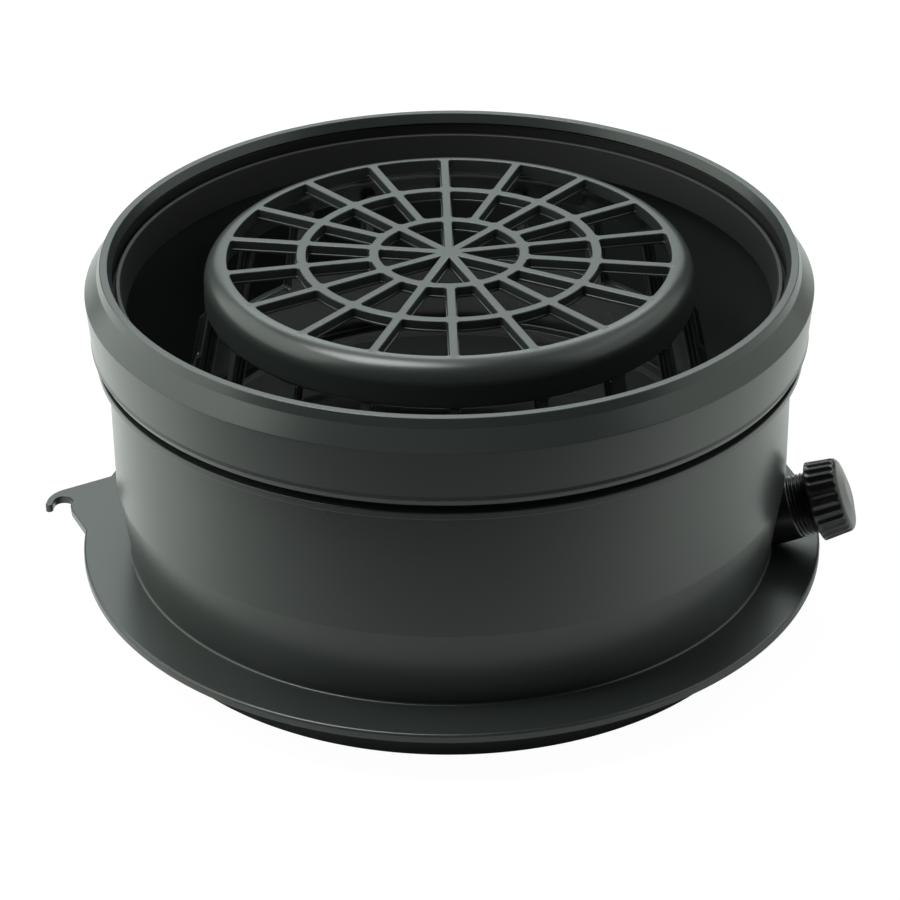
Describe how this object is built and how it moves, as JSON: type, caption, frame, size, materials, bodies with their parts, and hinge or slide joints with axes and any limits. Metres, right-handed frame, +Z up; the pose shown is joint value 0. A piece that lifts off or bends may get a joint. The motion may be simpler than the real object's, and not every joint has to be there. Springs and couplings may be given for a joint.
{
  "type": "air inlet adapter",
  "caption": "Round plastic duct adapter with a sealed collar, an inlet guard grille, a hooked flange and a capped side spout.",
  "frame": {"origin": "centre of the spigot's lower end, on the housing's axis", "axes": "+Z up along the housing's axis towards the duct, +X through the middle of the side spout"},
  "size_m": [0.2592, 0.233, 0.1148],
  "materials": {
    "plastic": "dark grey moulded plastic with a fine satin grain",
    "black_plastic": "black moulded plastic, satin",
    "rubber": "matt black rubber"
  },
  "bodies": {
    "adapter": {"housing": "plastic", "collar": "plastic", "duct_seal": "rubber", "guard": "plastic", "spout": "black_plastic"},
    "cap_feed": {"cap_gasket": "rubber"},
    "cap": {"screw_cap": "black_plastic"}
  },
  "joints": [
    {"name": "cap_travel", "type": "slide", "parent": "adapter", "child": "cap_feed", "axis": [0.9336, 0, 0.3584], "range_m": [0, 0.0075]},
    {"name": "cap_turn", "type": "hinge", "parent": "cap_feed", "child": "cap", "pos_m": [0.11427, 0, 0.03292], "axis": [0.9336, 0, 0.3584], "range_deg": [0, 2160]}
  ],
  "couplings": [
    {"joint": "cap_travel", "follows": "cap_turn", "m_per_rad": 0.00019894}
  ]
}
